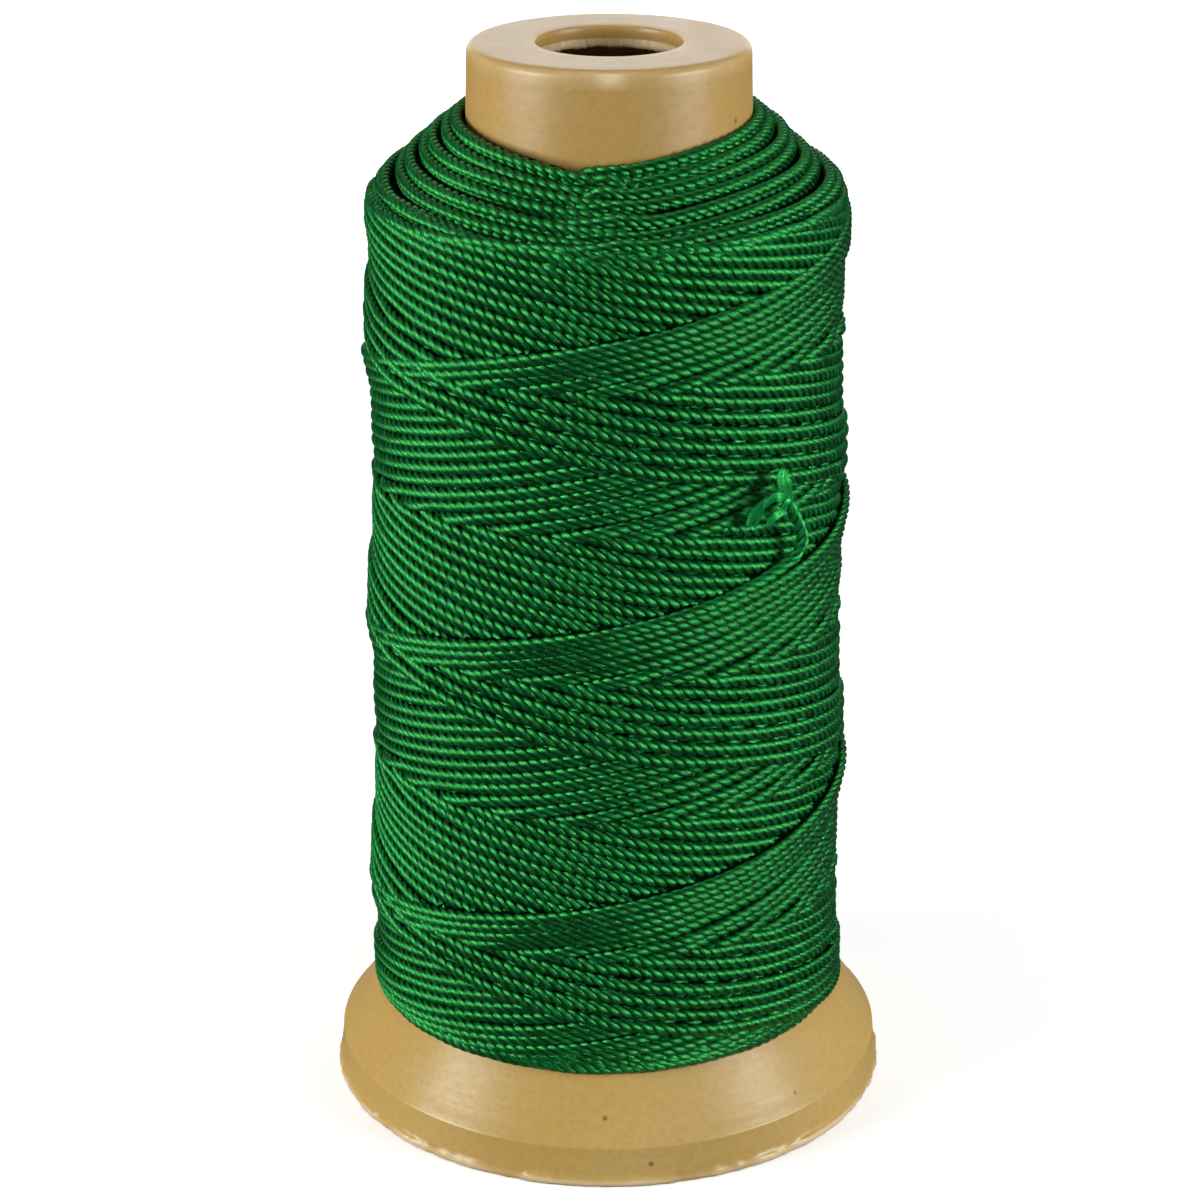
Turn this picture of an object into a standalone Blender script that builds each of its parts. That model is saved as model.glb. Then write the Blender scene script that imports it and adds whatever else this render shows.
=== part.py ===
"""A twine spool: a hollow moulded king spool wound with three-ply twisted line.

Metres, +Z up.  The spool stands on its foot: the origin is the middle of the
foot's underside, and +Z runs up the spool's own axis.
"""

import math

import bpy
from mathutils import Vector

MM = 0.001
STEPS = 64                      # segments round every turned piece
GAP = 0.3 * MM                  # clearance kept between touching pieces

# Spool: the foot cone, the tube under the line, and the collar on top.
HEIGHT = 125.0 * MM
FOOT_RADIUS = 33.0 * MM         # at the underside
RIM_RADIUS = 32.4 * MM          # at the top of the upright rim
RIM_HEIGHT = 4.6 * MM
RIM_EDGE = 0.5 * MM             # rounding where the rim meets the cone
CONE_RISE = 1.396               # height gained per unit of radius lost
WALL = 1.6 * MM
TUBE_WALL = 1.5 * MM
TUBE_FOOT_RADIUS = 18.5 * MM    # the tube's outside, where it stands on the foot
TUBE_TOP_RADIUS = 16.2 * MM
TUBE_TOP = 104.0 * MM
SPIGOT = 6.0 * MM               # how far the foot and the collar reach into the tube
COLLAR_TOP_RADIUS = 15.7 * MM
COLLAR_EDGE = 1.0 * MM          # rounding of the collar's upper edge
COLLAR_PLATE = 2.4 * MM
COLLAR_BORE_RADIUS = 13.0 * MM  # the hollow under the collar's top plate
HOLE_RADIUS = 8.1 * MM          # spindle hole
HOLE_EDGE = 0.25 * MM

# Winding: outer profile of the wound line, from the collar down to the foot.
WIND_TOP = 116.9 * MM
SHOULDER = [(25.6, 110.0), (26.5, 108.9), (27.0, 107.2)]
SIDES = [(27.25, 90.0), (27.45, 70.0), (27.75, 50.0), (28.05, 30.0), (28.2, 15.5)]
WIND_FOOT = (27.9, 12.0)

# Loose end of the line: a route on and over the winding, as degrees round from
# the front (-Y) towards +X, distance from the axis and height.
LINE_DIAMETER = 1.5 * MM
TAIL_ROUTE = [
    (0.0, 28.5, 66.0), (10.0, 28.5, 67.0), (18.0, 28.5, 67.8), (26.0, 28.5, 68.6),
    (34.0, 28.5, 69.5), (39.5, 28.5, 70.4), (43.6, 28.6, 71.4), (46.0, 28.8, 72.5),
    (46.7, 29.05, 73.9), (45.7, 29.25, 75.4), (44.2, 29.3, 76.8), (42.8, 29.25, 78.1),
    (41.4, 29.2, 79.3),
]
TAIL_POINTS = 36

# Three plies, unlaid past the end of the tail: the direction each one takes.
PLY_DIAMETER = 0.62 * MM
PLY_SPREAD = 0.56 * MM          # the plies' distance from the tail's own axis
PLY_TURN = 90.0                 # where round the tail the first ply starts, in degrees
PLY_ROUTES = {
    "tail_ply_upper": [(40.3, 29.6, 80.9), (39.6, 29.5, 82.0), (40.2, 29.2, 83.2)],
    "tail_ply_middle": [(38.7, 29.9, 80.2), (36.5, 29.8, 80.4), (34.6, 29.3, 79.4)],
    "tail_ply_lower": [(39.3, 29.4, 78.4), (37.4, 29.5, 78.0), (35.3, 29.2, 77.0)],
}
PLY_POINTS = 8


def clear_scene():
    """Remove whatever the start-up file holds."""
    for item in list(bpy.data.objects):
        bpy.data.objects.remove(item, do_unlink=True)


def material(name, colour, roughness):
    """A plain Principled material."""
    made = bpy.data.materials.new(name)
    made.use_nodes = True
    shader = made.node_tree.nodes["Principled BSDF"]
    shader.inputs["Base Color"].default_value = (*colour, 1.0)
    shader.inputs["Roughness"].default_value = roughness
    shader.inputs["Metallic"].default_value = 0.0
    made.diffuse_color = (*colour, 1.0)
    return made


def add_object(name, data, surface, collection):
    """Put mesh or curve data in the collection under the node's name."""
    made = bpy.data.objects.new(name, data)
    data.materials.append(surface)
    collection.objects.link(made)
    return made


def turned(name, loop, surface, collection):
    """Turn a closed outline of (radius, height) points round the Z axis.

    The outline runs down the outer side first, and back up the inner one.
    """
    count = len(loop)
    mesh = bpy.data.meshes.new(name)
    points = [(radius, 0.0, height) for radius, height in loop]
    edges = [(index, (index + 1) % count) for index in range(count)]
    mesh.from_pydata(points, edges, [])
    made = add_object(name, mesh, surface, collection)
    screw = made.modifiers.new("turn", "SCREW")
    screw.axis = "Z"
    screw.angle = 2.0 * math.pi
    screw.steps = STEPS
    screw.render_steps = STEPS
    screw.use_merge_vertices = True
    screw.merge_threshold = 0.00001
    screw.use_smooth_shade = True
    return made


def arc(centre, radius, start, end, parts):
    """Points on an arc in the (radius, height) plane, angles in degrees."""
    points = []
    for index in range(parts + 1):
        angle = math.radians(start + (end - start) * index / parts)
        points.append((centre[0] + radius * math.cos(angle), centre[1] + radius * math.sin(angle)))
    return points


def between(low, high, height):
    """Radius at a height on the straight line between two (radius, height) points."""
    share = (height - low[1]) / (high[1] - low[1])
    return low[0] + share * (high[0] - low[0])


def cone_radius(height):
    """Outside radius of the foot's cone."""
    return RIM_RADIUS - (height - RIM_HEIGHT) / CONE_RISE


def cone_height(radius):
    """Height of the foot's cone at a radius."""
    return RIM_HEIGHT + (RIM_RADIUS - radius) * CONE_RISE


def tube_radius(height):
    """Outside radius of the tapered tube."""
    return between((TUBE_FOOT_RADIUS, cone_height(TUBE_FOOT_RADIUS)), (TUBE_TOP_RADIUS, TUBE_TOP), height)


def collar_radius(height):
    """Outside radius of the collar, which flares slightly towards the tube."""
    return between((TUBE_TOP_RADIUS, TUBE_TOP), (COLLAR_TOP_RADIUS, HEIGHT - COLLAR_EDGE), height)


def make_foot(surface, collection):
    """Hollow cone with an upright rim, open underneath, and a spigot for the tube."""
    seat = cone_height(TUBE_FOOT_RADIUS)
    spigot_outer = tube_radius(seat + GAP) - TUBE_WALL - GAP
    spigot_inner = spigot_outer - TUBE_WALL
    inner_rim = RIM_RADIUS - 1.2 * WALL
    lip = RIM_EDGE * 0.4
    loop = [
        (spigot_outer - lip, seat + SPIGOT),
        (spigot_outer, seat + SPIGOT - lip),
        (spigot_outer, seat),
        (TUBE_FOOT_RADIUS, seat),
        (cone_radius(RIM_HEIGHT + RIM_EDGE), RIM_HEIGHT + RIM_EDGE),
        (RIM_RADIUS, RIM_HEIGHT - RIM_EDGE * 0.5),
        (FOOT_RADIUS, lip),
        (FOOT_RADIUS - lip, 0.0),
        (FOOT_RADIUS - WALL, 0.0),
        (inner_rim, RIM_HEIGHT * 0.9),
        (spigot_inner, seat - WALL),
        (spigot_inner, seat + SPIGOT),
    ]
    return turned("foot_cone", loop, surface, collection)


def make_tube(surface, collection):
    """Tapered tube that the line is wound on."""
    low = cone_height(TUBE_FOOT_RADIUS) + GAP
    high = TUBE_TOP
    loop = [
        (tube_radius(high), high),
        (tube_radius(low), low),
        (tube_radius(low) - TUBE_WALL, low),
        (tube_radius(high) - TUBE_WALL, high),
    ]
    return turned("core_tube", loop, surface, collection)


def make_collar(surface, collection):
    """Cap on the tube's upper end, with the spindle hole through its top plate."""
    seat = TUBE_TOP + GAP
    spigot_outer = tube_radius(TUBE_TOP - SPIGOT) - TUBE_WALL - GAP * 2.0
    lip = HOLE_EDGE
    loop = [(HOLE_RADIUS + HOLE_EDGE, HEIGHT)]
    loop += arc((COLLAR_TOP_RADIUS - COLLAR_EDGE, HEIGHT - COLLAR_EDGE), COLLAR_EDGE, 90, 0, 5)
    loop += [
        (collar_radius(seat), seat),
        (spigot_outer, seat),
        (spigot_outer, seat - SPIGOT + lip),
        (spigot_outer - lip, seat - SPIGOT),
        (COLLAR_BORE_RADIUS, seat - SPIGOT),
        (COLLAR_BORE_RADIUS, HEIGHT - COLLAR_PLATE - 1.2 * MM),
        (COLLAR_BORE_RADIUS - 1.2 * MM, HEIGHT - COLLAR_PLATE),
        (HOLE_RADIUS, HEIGHT - COLLAR_PLATE),
        (HOLE_RADIUS, HEIGHT - HOLE_EDGE),
    ]
    return turned("top_collar", loop, surface, collection)


def make_winding(surface, collection):
    """Outer shape of the wound line: shoulder, near-straight sides, seat on the cone."""
    clear_of_cone = GAP * math.hypot(1.0, CONE_RISE) / CONE_RISE
    foot_radius, foot_height = WIND_FOOT[0] * MM, WIND_FOOT[1] * MM
    seat_radius = cone_radius(foot_height - 0.8 * MM) + clear_of_cone
    corner_radius = TUBE_FOOT_RADIUS + GAP
    loop = [(collar_radius(WIND_TOP) + GAP, WIND_TOP)]
    loop += [(radius * MM, height * MM) for radius, height in SHOULDER + SIDES]
    loop += [
        (foot_radius, foot_height),
        (seat_radius, foot_height - 0.8 * MM),
        (corner_radius, cone_height(corner_radius - clear_of_cone)),
        (tube_radius(TUBE_TOP) + GAP, TUBE_TOP),
    ]
    return turned("line_winding", loop, surface, collection)


def place(point):
    """World position of an (angle in degrees, radius in mm, height in mm) point."""
    angle = math.radians(point[0])
    radius = point[1] * MM
    return Vector((radius * math.sin(angle), -radius * math.cos(angle), point[2] * MM))


def smooth_route(points, count):
    """Evenly spaced points on a Catmull-Rom curve through the given ones."""
    padded = [points[0] * 2.0 - points[1]] + points + [points[-1] * 2.0 - points[-2]]
    dense = []
    for index in range(1, len(padded) - 2):
        before, start, end, after = padded[index - 1:index + 3]
        for part in range(12):
            t = part / 12.0
            dense.append(0.5 * (2.0 * start + (end - before) * t
                                + (2.0 * before - 5.0 * start + 4.0 * end - after) * t * t
                                + (3.0 * start - before - 3.0 * end + after) * t ** 3))
    dense.append(points[-1])
    lengths = [0.0]
    for first, second in zip(dense, dense[1:]):
        lengths.append(lengths[-1] + (second - first).length)
    route = []
    step = 0
    for index in range(count):
        wanted = lengths[-1] * index / (count - 1)
        while step < len(dense) - 2 and lengths[step + 1] < wanted:
            step += 1
        share = (wanted - lengths[step]) / (lengths[step + 1] - lengths[step])
        route.append(dense[step].lerp(dense[step + 1], share))
    return route


def cord(name, route, diameter, surface, collection):
    """A round tube along a route, with closed ends."""
    curve = bpy.data.curves.new(name, "CURVE")
    curve.dimensions = "3D"
    curve.bevel_depth = diameter / 2.0
    curve.bevel_resolution = 2
    curve.use_fill_caps = True
    spline = curve.splines.new("POLY")
    spline.points.add(len(route) - 1)
    for point, position in zip(spline.points, route):
        point.co = (*position, 1.0)
    return add_object(name, curve, surface, collection)


def make_tail(surface, collection):
    """Loose end of the line, and its three plies where they come unlaid."""
    route = smooth_route([place(point) for point in TAIL_ROUTE], TAIL_POINTS)
    cord("line_tail", route, LINE_DIAMETER, surface, collection)
    end = route[-1]
    along = (route[-1] - route[-2]).normalized()
    outward = Vector((end.x, end.y, 0.0)).normalized()
    side = along.cross(outward).normalized()
    outward = side.cross(along).normalized()
    for index, (name, points) in enumerate(PLY_ROUTES.items()):
        angle = math.radians(PLY_TURN + 120.0 * index)
        root = end + along * GAP * 1.2 + PLY_SPREAD * (math.cos(angle) * outward + math.sin(angle) * side)
        knots = [root, root + along * PLY_DIAMETER * 0.7] + [place(point) for point in points]
        cord(name, smooth_route(knots, PLY_POINTS), PLY_DIAMETER, surface, collection)


def main():
    """Build the spool."""
    clear_scene()
    spool = bpy.data.collections.new("twine_spool")
    bpy.context.scene.collection.children.link(spool)
    make_foot(material("foot_plastic", (0.50, 0.33, 0.12), 0.40), spool)
    make_tube(material("tube_plastic", (0.50, 0.33, 0.12), 0.45), spool)
    make_collar(material("collar_plastic", (0.52, 0.35, 0.14), 0.38), spool)
    make_winding(material("wound_line", (0.01, 0.22, 0.05), 0.50), spool)
    make_tail(material("loose_line", (0.02, 0.30, 0.08), 0.50), spool)


main()
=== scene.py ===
"""Looks of the twine spool: wound three-ply line, its loose end, and the moulded spool under it."""

import math

import bpy
import numpy as np
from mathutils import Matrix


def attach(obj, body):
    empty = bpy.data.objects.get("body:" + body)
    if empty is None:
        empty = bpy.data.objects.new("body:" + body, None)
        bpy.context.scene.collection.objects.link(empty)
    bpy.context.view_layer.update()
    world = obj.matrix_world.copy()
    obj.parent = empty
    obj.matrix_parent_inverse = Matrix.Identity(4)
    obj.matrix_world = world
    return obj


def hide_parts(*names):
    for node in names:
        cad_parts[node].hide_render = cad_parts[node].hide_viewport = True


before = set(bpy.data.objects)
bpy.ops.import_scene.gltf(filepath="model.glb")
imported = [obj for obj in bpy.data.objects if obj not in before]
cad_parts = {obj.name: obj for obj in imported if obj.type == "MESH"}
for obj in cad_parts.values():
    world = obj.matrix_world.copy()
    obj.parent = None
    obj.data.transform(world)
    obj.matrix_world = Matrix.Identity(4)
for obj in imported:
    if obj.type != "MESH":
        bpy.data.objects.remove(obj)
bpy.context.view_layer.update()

MM = 0.001
TAU = 2.0 * math.pi

# The spool, in millimetres.
HEIGHT = 125.0
FOOT_RADIUS = 33.0
RIM_RADIUS = 32.4
RIM_HEIGHT = 4.6
RIM_ROUND = 0.62
CONE_RISE = 1.396
WALL = 1.6
TUBE_FOOT_RADIUS = 18.5
TUBE_TOP_RADIUS = 16.2
TUBE_TOP = 104.0
TUBE_WALL = 1.5
SPIGOT = 6.0
COLLAR_TOP_RADIUS = 15.7
COLLAR_EDGE = 1.0
COLLAR_PLATE = 2.4
COLLAR_BORE_RADIUS = 13.0
HOLE_RADIUS = 8.1

# Outer profile of the winding, as (height, radius).
PROFILE = [
    (8.0, 29.2), (11.0, 28.2), (12.6, 28.15), (15.5, 28.2), (30.0, 28.05), (50.0, 27.75), (70.0, 27.45),
    (90.0, 27.15), (104.8, 27.05), (107.5, 27.0), (108.4, 26.85), (109.4, 26.45), (110.3, 25.75),
    (111.2, 24.75), (113.9, 21.75), (115.7, 19.8), (117.5, 17.6), (118.4, 16.5), (120.0, 15.9),
]

# The line and how it was wound.  Angles are in degrees round from the front (-Y) towards +X.
CONTACT_RADIUS = 0.66           # half the distance at which two turns touch
LAY = 3.96                      # one turn of the three plies
CREST = 0.71                    # the line's reach from its centre to the crest of a ply
VALLEY = 0.42                   # and to the crease between two plies
FLATTENED = 0.76                # the wound line's thickness, where its neighbours press it flat
WIDENED = 1.08
FULLNESS = 1.05                 # how much fuller the line is where it lies loose on the shoulder
CYCLE_TURNS = 5.9565            # turns of the spool for one stroke up and one down
CYCLES = 26.0                   # strokes up and down that are laid; older ones never show
END_ANGLE = 0.0                 # where the last turn leaves the winding
END_HEIGHT = 66.0
LAST_REVERSAL = 1.7175          # turns between the last reversal, at the foot, and the end
LOW_CORNER = 9.77               # heights where the strokes turn back
HIGH_CORNER = 109.2
SHRINK = 0.03                   # how much lower each stroke stops than the one before it
LOW_ROUND = 0.082               # rounding of the reversals, in turns
HIGH_ROUND = 0.045
FADE_CYCLES = 6.0               # over which the strokes shift, so that the last one ends at END_HEIGHT
STEP = 2.0                      # degrees between samples
EVENNESS = 0.46                 # how much of the laid unevenness is left after pressing
MAP_COLUMNS = 704               # cells of the height map round the spool
MAP_ROW = 0.25
MAP_LOW = 8.0
MAP_HIGH = 120.0
RING = -99.0                    # marks a shoulder turn, where a stroke has its count of turns

# Loose end of the line, as in the CAD: degrees, distance from the axis, height.
TAIL_ROUTE = [
    (0.0, 28.5, 66.0), (10.0, 28.5, 67.0), (18.0, 28.5, 67.8), (26.0, 28.5, 68.6),
    (34.0, 28.5, 69.5), (39.5, 28.5, 70.4), (43.6, 28.6, 71.4), (46.0, 28.8, 72.5),
    (46.7, 29.05, 73.9), (45.7, 29.25, 75.4), (44.2, 29.3, 76.8), (42.8, 29.25, 78.1),
    (41.4, 29.2, 79.3),
]
RESTING = 6                     # points of the route that still lie on the winding

rows = int((MAP_HIGH - MAP_LOW) / MAP_ROW)
row_height = MAP_LOW + (np.arange(rows) + 0.5) * MAP_ROW
column = TAU / MAP_COLUMNS


# ---------------------------------------------------------------- winding, worked out as heights over a map

def target_radius(height):
    """Outer radius of the winding at a height."""
    return np.interp(height, [p[0] for p in PROFILE], [p[1] for p in PROFILE])


def cone_radius(height):
    """Outside radius of the foot's cone."""
    return RIM_RADIUS - (height - RIM_HEIGHT) / CONE_RISE


def spool_radius(height):
    """Outside radius of the bare spool."""
    tube = np.interp(height, (24.0, TUBE_TOP), (TUBE_FOOT_RADIUS, TUBE_TOP_RADIUS))
    collar = np.interp(height, (TUBE_TOP, HEIGHT - COLLAR_EDGE), (TUBE_TOP_RADIUS, COLLAR_TOP_RADIUS))
    return np.maximum(np.where(height < TUBE_TOP, tube, collar), cone_radius(height))


def smooth_noise(rng, length, width):
    """Random values along a line, correlated over a number of samples."""
    kernel = np.hanning(width + 2)[1:-1]
    kernel /= math.sqrt((kernel ** 2).sum())
    return np.convolve(rng.normal(0.0, 1.0, length + 2 * width), kernel, "same")[width:-width]


def smooth_step(value):
    """0 to 1 with level ends, for a value from 0 to 1."""
    value = np.clip(value, 0.0, 1.0)
    return value * value * (3.0 - 2.0 * value)


def steepness(height):
    """How much further from the axis a line's centre sits where the winding's outline slopes."""
    slope = (target_radius(height + 0.4) - target_radius(height - 0.4)) / 0.8
    return np.sqrt(1.0 + slope ** 2)


def footprint(angle, height):
    """Map cells under the samples of a line, and how far they lie from them up and round."""
    around, across = np.meshgrid(np.arange(-6, 7), np.arange(-3, 4))
    around, across = around.ravel(), across.ravel()
    row = ((height - MAP_LOW) / MAP_ROW - 0.5)[:, None]
    col = ((angle % TAU) / column)[:, None]
    near_row, near_col = np.round(row).astype(int), np.round(col).astype(int)
    cells = (np.clip(near_row + across, 0, rows - 1), (near_col + around) % MAP_COLUMNS)
    return cells, (near_row + across - row) * MAP_ROW, (near_col + around - col) * column


def stamp(heights, angle, height, radius):
    """Raise the height map to the top of a line."""
    cells, up, aside = footprint(angle, height)
    centre = radius[:, None]
    room = CONTACT_RADIUS ** 2 - up ** 2 - (aside * centre) ** 2
    top = np.where(room > 0, centre + np.sqrt(np.maximum(room, 0)), 0)
    np.maximum.at(heights, (cells[0].ravel(), cells[1].ravel()), top.ravel())


def lay_line(heights, angle, height, cap):
    """Lay a line over the height map, in order, and return its distance from the axis.

    Each sample rests on what is already there, but no further out than its cap, where the
    real line is pressed into the turns below; the map then takes the line's own top.
    """
    count = len(angle)
    kernel = np.exp(-0.5 * (np.arange(-4, 5) / 1.4) ** 2)
    kernel /= kernel.sum()
    needed = np.zeros(count)
    radius = np.zeros(count)
    chunk, look, lag = 150, 10, 4
    stamped = start = 0
    while start < count:
        stop = min(count, start + chunk)
        ahead = min(count, stop + look)
        cells, up, aside = footprint(angle[start:ahead], height[start:ahead])
        under = heights[cells]
        room = CONTACT_RADIUS ** 2 - up ** 2 - (aside * under) ** 2
        needed[start:ahead] = np.where(room > 0, under + np.sqrt(np.maximum(room, 0)), 0).max(1)
        low = max(0, start - 8)
        span = needed[low:ahead]
        highest = span.copy()
        highest[1:] = np.maximum(highest[1:], span[:-1])
        highest[:-1] = np.maximum(highest[:-1], span[1:])
        eased = np.convolve(np.pad(highest, 4, mode="edge"), kernel, "valid")
        radius[start:stop] = np.minimum(eased[start - low:stop - low], cap[start:stop])
        done = stop - lag if stop < count else count
        if done > stamped:
            stamp(heights, angle[stamped:done], height[stamped:done], radius[stamped:done])
            stamped = done
        start = stop
    return radius


def stroke_height(turn):
    """Height of the line a number of turns from its end, for the back-and-forth strokes."""
    half = CYCLE_TURNS / 2.0
    age = np.maximum(-turn, 0.0) / CYCLE_TURNS
    phase = (turn + LAST_REVERSAL) / half
    from_low = np.abs(phase - 2.0 * np.round(phase / 2.0)) * half
    from_high = half - from_low
    high_corner = HIGH_CORNER + SHRINK * age
    pitch = (high_corner - LOW_CORNER) / half
    rising = LOW_CORNER + pitch * np.sqrt(from_low ** 2 + LOW_ROUND ** 2)
    falling = high_corner - pitch * np.sqrt(from_high ** 2 + HIGH_ROUND ** 2)
    share = smooth_step(from_low / half)
    return rising * (1.0 - share) + falling * share


def strokes():
    """Angle and height of the outermost strokes, up to where the loose end lifts off."""
    rest = TAIL_ROUTE[:RESTING]
    extra = (rest[-1][0] - END_ANGLE) / 360.0
    count = int(CYCLES * CYCLE_TURNS * 360.0 / STEP)
    turn = np.arange(-count, int(extra * 360.0 / STEP) + 1) * STEP / 360.0
    height = stroke_height(turn)
    error = END_HEIGHT - stroke_height(np.array([0.0]))[0]
    height = height + error * np.clip(1.0 + turn / (FADE_CYCLES * CYCLE_TURNS), 0.0, 1.0) ** 2
    angle = np.radians(END_ANGLE) + TAU * turn
    rng = np.random.default_rng(4)
    wander = smooth_noise(rng, len(turn), 90) * 0.05 + smooth_noise(rng, len(turn), 21) * 0.035
    calm = np.clip(-turn / 2.0, 0.0, 1.0)
    height = height + wander * calm
    after = turn > 0.0
    height[after] = np.interp(np.degrees(angle[after]), [p[0] for p in rest], [p[2] for p in rest])
    return angle, height, turn


# Turns left bare on the shoulder, in groups from the collar down: height at the sides, drop at the
# front, number of turns, and how far each goes out along the outline as it drops.
SHOULDER = [
    (117.35, 2.95, 2, 0.0), (115.2, 2.5, 2, 0.0), (113.0, 2.6, 2, 0.2), (110.6, 2.3, 1, 0.7),
]
SHOULDER_FOOT = 109.2
# Turns between the shoulder's and the strokes' reversals, round the sides and back: height, depth.
UNDER_SHOULDER = [(109.55, 0.10), (108.4, 0.22)]


def ring_drop(degrees):
    """Share of its drop that a shoulder turn has at an angle; it hangs lowest just right of the front."""
    away = np.abs((degrees - 3.0 + 180.0) % 360.0 - 180.0)
    return 0.45 * ((1.0 + np.cos(np.radians(away))) / 2.0) ** 2 + 0.55 * np.exp(-(away / 30.0) ** 1.8)


def shoulder_rings():
    """Angle, height and radius of each turn that shows on the shoulder, from the collar down."""
    rng = np.random.default_rng(9)
    below = [group[0] for group in SHOULDER[1:]] + [SHOULDER_FOOT]
    rings = []
    layers = [(group, foot, deep) for deep in (1.0, 0.0) for group, foot in zip(SHOULDER, below)]
    for (level, drop, count, follow), foot, deep in layers:
        spacing = (level - foot) / count
        level = level - 0.5 * spacing * deep
        for number in range(count):
            topmost = level == SHOULDER[0][0] and number == 0
            start = (-23.0 if topmost else -13.0) - 6.0 * number + rng.uniform(-9.0, 7.0)
            end = 375.0 + 6.0 * number + rng.uniform(-9.0, 9.0)
            degrees = np.arange(start, end, STEP)
            side = level - spacing * (number + smooth_step((degrees - 235.0) / 130.0))
            dive = np.clip(1.0 - np.minimum(degrees - start, end - degrees) / 9.0, 0.0, 1.0) ** 2
            height = side - drop * ring_drop(np.clip(degrees, 3.0, 363.0))
            height -= 0.02 * np.maximum(3.0 - degrees, 0.0) + 0.03 * np.maximum(degrees - 363.0, 0.0)
            height += smooth_noise(rng, len(degrees), 40) * 0.08 - 0.4 * dive
            bump = rng.uniform(0.1, 0.6) * np.exp(-((degrees - rng.uniform(-4.0, 9.0)) / 5.0) ** 2)
            height += -1.0 * dive if topmost else bump
            crest = (1.0 - follow) * target_radius(side) + follow * target_radius(height)
            away = np.abs((degrees + 180.0) % 360.0 - 180.0)
            tuck = 0.28 * np.exp(-((away - 85.0) / 30.0) ** 2) + 0.30 * np.exp(-(away / 14.0) ** 2) + 0.06
            tuck = tuck * number / max(1, count - 1)
            over = rng.uniform(0.15, 0.40) * (1.0 - smooth_step((degrees - rng.uniform(4.0, 16.0)) / 14.0))
            over -= rng.uniform(0.25, 0.50) * smooth_step((degrees - rng.uniform(338.0, 350.0)) / 16.0)
            radius = crest - CREST * FULLNESS * steepness(side) - tuck + over - 0.8 * dive - 0.7 * deep
            radius = np.maximum(radius, spool_radius(height) + CREST * FULLNESS)
            rings.append((np.radians(degrees), height, radius))
    for level, inset in UNDER_SHOULDER:
        degrees = np.arange(46.0 + rng.uniform(-8.0, 8.0), 318.0 + rng.uniform(-8.0, 8.0), STEP)
        dive = np.clip(1.0 - np.minimum(degrees - degrees[0], degrees[-1] - degrees) / 30.0, 0.0, 1.0) ** 2
        height = level + smooth_noise(rng, len(degrees), 40) * 0.08 - 1.2 * dive
        radius = target_radius(level) - CREST * FULLNESS * steepness(level) - inset - 0.8 * dive
        rings.append((np.radians(degrees), height, radius))
    return rings


def wind():
    """All the line that can show: a list of (angle, height, radius, turn) runs, and the height map."""
    inset = np.interp(row_height, (8.0, 16.0, 104.0, 108.0), (1.2, 2.6, 2.6, 3.2))
    base = np.maximum(spool_radius(row_height), target_radius(row_height) - inset)
    heights = np.tile(base[:, None], (1, MAP_COLUMNS)).astype(float)
    angle, height, turn = strokes()
    age = np.maximum(-turn, 0.0) / CYCLE_TURNS
    loose = np.interp(height, (13.5, 19.0, 99.0, 106.0), (0.0, 2.2, 2.2, 0.0))
    lowest_ring = SHOULDER[-1][0] - SHOULDER[-1][1] * ring_drop(np.degrees(angle))
    past = height - (lowest_ring - 1.5)
    dive = smooth_step(past / 1.2) + 1.2 * np.maximum(past - 1.0, 0.0)
    cap = target_radius(height) - 0.45 * CONTACT_RADIUS * steepness(height) - 0.05 * age + loose - dive
    radius = lay_line(heights, angle, height, cap)
    # Turns are drawn towards the real outline: a wound package is pressed far more even than loose line.
    top = np.flatnonzero(row_height < 108.6)[-1]
    wanted = target_radius(row_height) - (CREST * FLATTENED - CONTACT_RADIUS)
    middle = np.percentile(heights, 50, axis=1)
    middle[top:] = target_radius(row_height[top:]) + middle[top] - target_radius(row_height[top])
    high = middle + EVENNESS * (np.percentile(heights, 88, axis=1) - middle)
    kernel = np.hanning(13)[1:-1] / np.hanning(13).sum()
    shift = wanted - high
    shift[top:] = shift[top]
    middle = np.convolve(np.pad(middle, 5, mode="edge"), kernel, "valid")
    shift = np.convolve(np.pad(shift, 5, mode="edge"), kernel, "valid")

    def pressed(value, level, angles):
        """Distance from the axis after the package is pressed even; its left side stands a little proud."""
        centre = np.interp(level, row_height, middle)
        proud = 0.22 * (1.0 - np.sin(angles)) * np.interp(level, (107.0, 110.0), (1.0, 0.0))
        return centre + EVENNESS * (value - centre) + np.interp(level, row_height, shift) + proud

    radius = pressed(radius + CONTACT_RADIUS, height, angle) - CONTACT_RADIUS
    levels = np.broadcast_to(row_height[:, None], heights.shape)
    heights = pressed(heights, levels, np.arange(MAP_COLUMNS)[None, :] * column)
    heights[row_height > SHOULDER_FOOT + 0.5] = 0.0
    laid = []
    for ring in shoulder_rings():
        stamp(heights, *ring)
        laid.append([*ring, np.full(len(ring[0]), RING)])
    laid.append([angle, height, radius, turn])
    return laid, heights


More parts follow.
